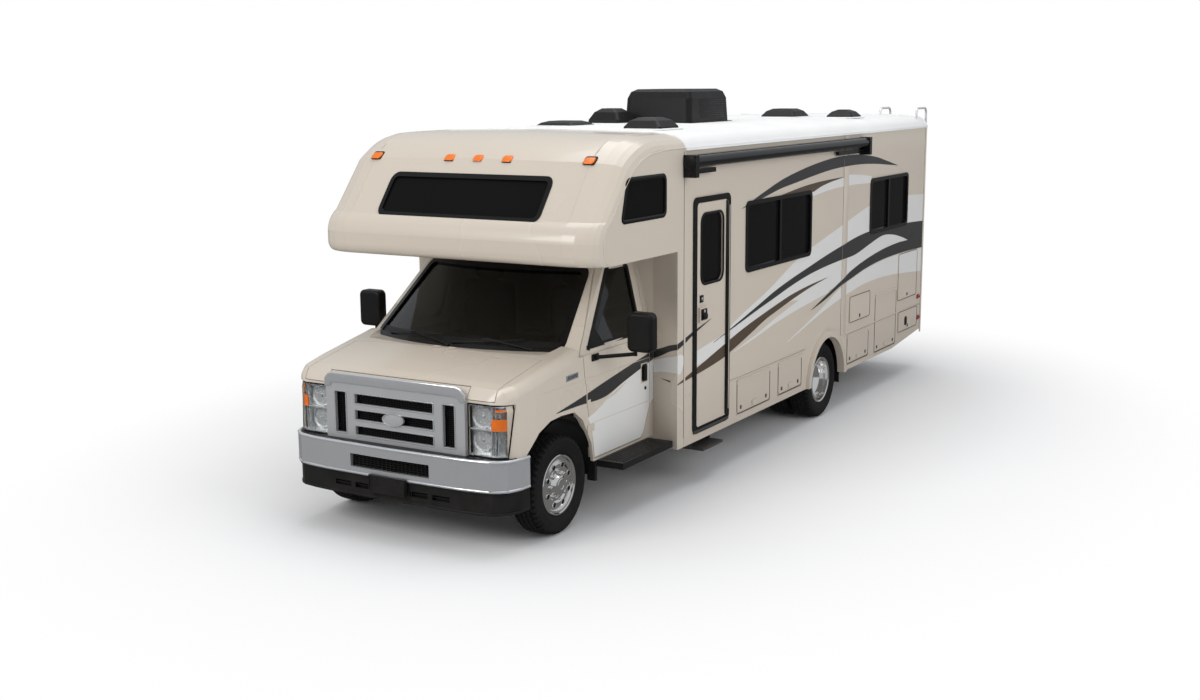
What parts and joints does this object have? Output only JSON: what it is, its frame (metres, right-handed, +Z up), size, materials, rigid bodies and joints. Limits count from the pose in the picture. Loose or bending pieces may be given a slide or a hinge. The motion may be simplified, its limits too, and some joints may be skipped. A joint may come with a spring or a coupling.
{
  "type": "motorhome",
  "caption": "Cab-over motorhome: van cab and chassis carrying a coach body, with steering, rolling wheels, hood, cab doors, entry door and baggage doors.",
  "frame": {"origin": "on the ground under the middle of the vehicle", "axes": "+Z up, the vehicle faces -Y, +X to its left side, the side of the entry door"},
  "size_m": [2.79, 8.29, 3.2049],
  "materials": {
    "frame_steel": "satin black",
    "cast_metal": "raw",
    "exhaust_steel": "dull",
    "tank_plastic": "matt black",
    "body_paint": "gloss warm beige",
    "coach_skin": "gloss warm beige moulded fibreglass",
    "roof_membrane": "off-white membrane",
    "black_trim": "textured black",
    "window_black": "satin black",
    "clear_glass": "lightly tinted",
    "dark_glass": "dark tinted",
    "chrome_trim": "mirror chrome",
    "lamp_lens": "clear lens over reflectors",
    "marker_lens": "amber in front, red behind",
    "seat_cloth": "woven",
    "dash_plastic": "grained",
    "floor_board": "sealed ply",
    "bay_liner": "mill",
    "step_metal": "textured black",
    "ladder_tube": "bright",
    "tyre_rubber": "matt",
    "rim_steel": "polished cover",
    "mirror_shell": "black"
  },
  "bodies": {
    "coach": {"frame_rails": "frame_steel", "engine_block": "cast_metal", "driveline": "cast_metal", "exhaust": "exhaust_steel", "tanks": "tank_plastic", "front_axle": "cast_metal", "rear_axle": "cast_metal", "cab_body": "body_paint", "windscreen": "clear_glass", "grille": "chrome_trim", "headlamps": "lamp_lens", "front_bumper": "chrome_trim", "front_valance": "black_trim", "running_boards": "black_trim", "seats": "seat_cloth", "dashboard": "dash_plastic", "front_cap": "coach_skin", "wall_left": "coach_skin", "wall_right": "coach_skin", "wall_rear": "coach_skin", "roof": "roof_membrane", "floor": "floor_board", "baggage_bays": "bay_liner", "service_lids": "body_paint", "arch_flares": "coach_skin", "window_frames": "window_black", "coach_glass": "dark_glass", "entry_frame": "window_black", "entry_step": "step_metal", "awning": "black_trim", "roof_ac": "black_trim", "roof_vents": "black_trim", "ladder": "ladder_tube", "rear_bumper": "frame_steel", "lamps": "marker_lens"},
    "hood": {"hood": "body_paint"},
    "cab_door_left": {"cab_door_left": "body_paint", "cab_door_glass_left": "clear_glass", "mirror_left": "mirror_shell"},
    "cab_door_right": {"cab_door_right": "body_paint", "cab_door_glass_right": "clear_glass", "mirror_right": "mirror_shell"},
    "entry_door": {"entry_door": "body_paint", "entry_door_glass": "dark_glass"},
    "bay_door_left_front": {"bay_door_left_front": "body_paint"},
    "bay_door_left_middle": {"bay_door_left_middle": "body_paint"},
    "bay_door_left_rear": {"bay_door_left_rear": "body_paint"},
    "bay_door_left_tall": {"bay_door_left_tall": "body_paint"},
    "bay_door_right_front": {"bay_door_right_front": "body_paint"},
    "bay_door_right_rear": {"bay_door_right_rear": "body_paint"},
    "knuckle_left": {"knuckle_left": "cast_metal"},
    "front_wheel_left": {"wheel_front_left": "rim_steel", "tyre_front_left": "tyre_rubber"},
    "rear_wheels_left": {"wheels_rear_left": "rim_steel", "tyres_rear_left": "tyre_rubber"},
    "knuckle_right": {"knuckle_right": "cast_metal"},
    "front_wheel_right": {"wheel_front_right": "rim_steel", "tyre_front_right": "tyre_rubber"},
    "rear_wheels_right": {"wheels_rear_right": "rim_steel", "tyres_rear_right": "tyre_rubber"}
  },
  "joints": [
    {"name": "steer_left", "type": "hinge", "parent": "coach", "child": "knuckle_left", "pos_m": [0.8, -3.355, 0.372], "axis": [0, 0, 1], "range_deg": [-32, 32]},
    {"name": "steer_right", "type": "hinge", "parent": "coach", "child": "knuckle_right", "pos_m": [-0.8, -3.355, 0.372], "axis": [0, 0, 1], "range_deg": [-32, 32]},
    {"name": "roll_front_left", "type": "hinge", "parent": "knuckle_left", "child": "front_wheel_left", "pos_m": [0.8815, -3.355, 0.372], "axis": [1, 0, 0], "continuous": true},
    {"name": "roll_front_right", "type": "hinge", "parent": "knuckle_right", "child": "front_wheel_right", "pos_m": [-0.8815, -3.355, 0.372], "axis": [1, 0, 0], "continuous": true},
    {"name": "roll_rear_left", "type": "hinge", "parent": "coach", "child": "rear_wheels_left", "pos_m": [0.988, 1.115, 0.372], "axis": [1, 0, 0], "continuous": true},
    {"name": "roll_rear_right", "type": "hinge", "parent": "coach", "child": "rear_wheels_right", "pos_m": [-0.988, 1.115, 0.372], "axis": [1, 0, 0], "continuous": true},
    {"name": "hood_hinge", "type": "hinge", "parent": "coach", "child": "hood", "pos_m": [0, -3.398, 1.326], "axis": [-1, 0, 0], "range_deg": [0, 55]},
    {"name": "cab_door_hinge_left", "type": "hinge", "parent": "coach", "child": "cab_door_left", "pos_m": [1.004, -2.993, 1], "axis": [0, 0, -1], "range_deg": [0, 65]},
    {"name": "cab_door_hinge_right", "type": "hinge", "parent": "coach", "child": "cab_door_right", "pos_m": [-1.004, -2.993, 1], "axis": [0, 0, 1], "range_deg": [0, 65]},
    {"name": "entry_door_hinge", "type": "hinge", "parent": "coach", "child": "entry_door", "pos_m": [1.281, -1.143, 1.4], "axis": [0, 0, 1], "range_deg": [0, 100]},
    {"name": "bay_door_hinge_left_front", "type": "hinge", "parent": "coach", "child": "bay_door_left_front", "pos_m": [1.271, -0.585, 0.738], "axis": [0, -1, 0], "range_deg": [0, 90]},
    {"name": "bay_door_hinge_left_middle", "type": "hinge", "parent": "coach", "child": "bay_door_left_middle", "pos_m": [1.271, 0.22, 0.738], "axis": [0, -1, 0], "range_deg": [0, 90]},
    {"name": "bay_door_hinge_left_rear", "type": "hinge", "parent": "coach", "child": "bay_door_left_rear", "pos_m": [1.271, 1.985, 0.728], "axis": [0, -1, 0], "range_deg": [0, 90]},
    {"name": "bay_door_hinge_left_tall", "type": "hinge", "parent": "coach", "child": "bay_door_left_tall", "pos_m": [1.271, 2.81, 1.038], "axis": [0, -1, 0], "range_deg": [0, 90]},
    {"name": "bay_door_hinge_right_front", "type": "hinge", "parent": "coach", "child": "bay_door_right_front", "pos_m": [-1.271, -0.445, 0.738], "axis": [0, 1, 0], "range_deg": [0, 90]},
    {"name": "bay_door_hinge_right_rear", "type": "hinge", "parent": "coach", "child": "bay_door_right_rear", "pos_m": [-1.271, 2.345, 0.728], "axis": [0, 1, 0], "range_deg": [0, 90]}
  ],
  "couplings": [
    {"joint": "steer_right", "follows": "steer_left", "ratio": 1}
  ]
}
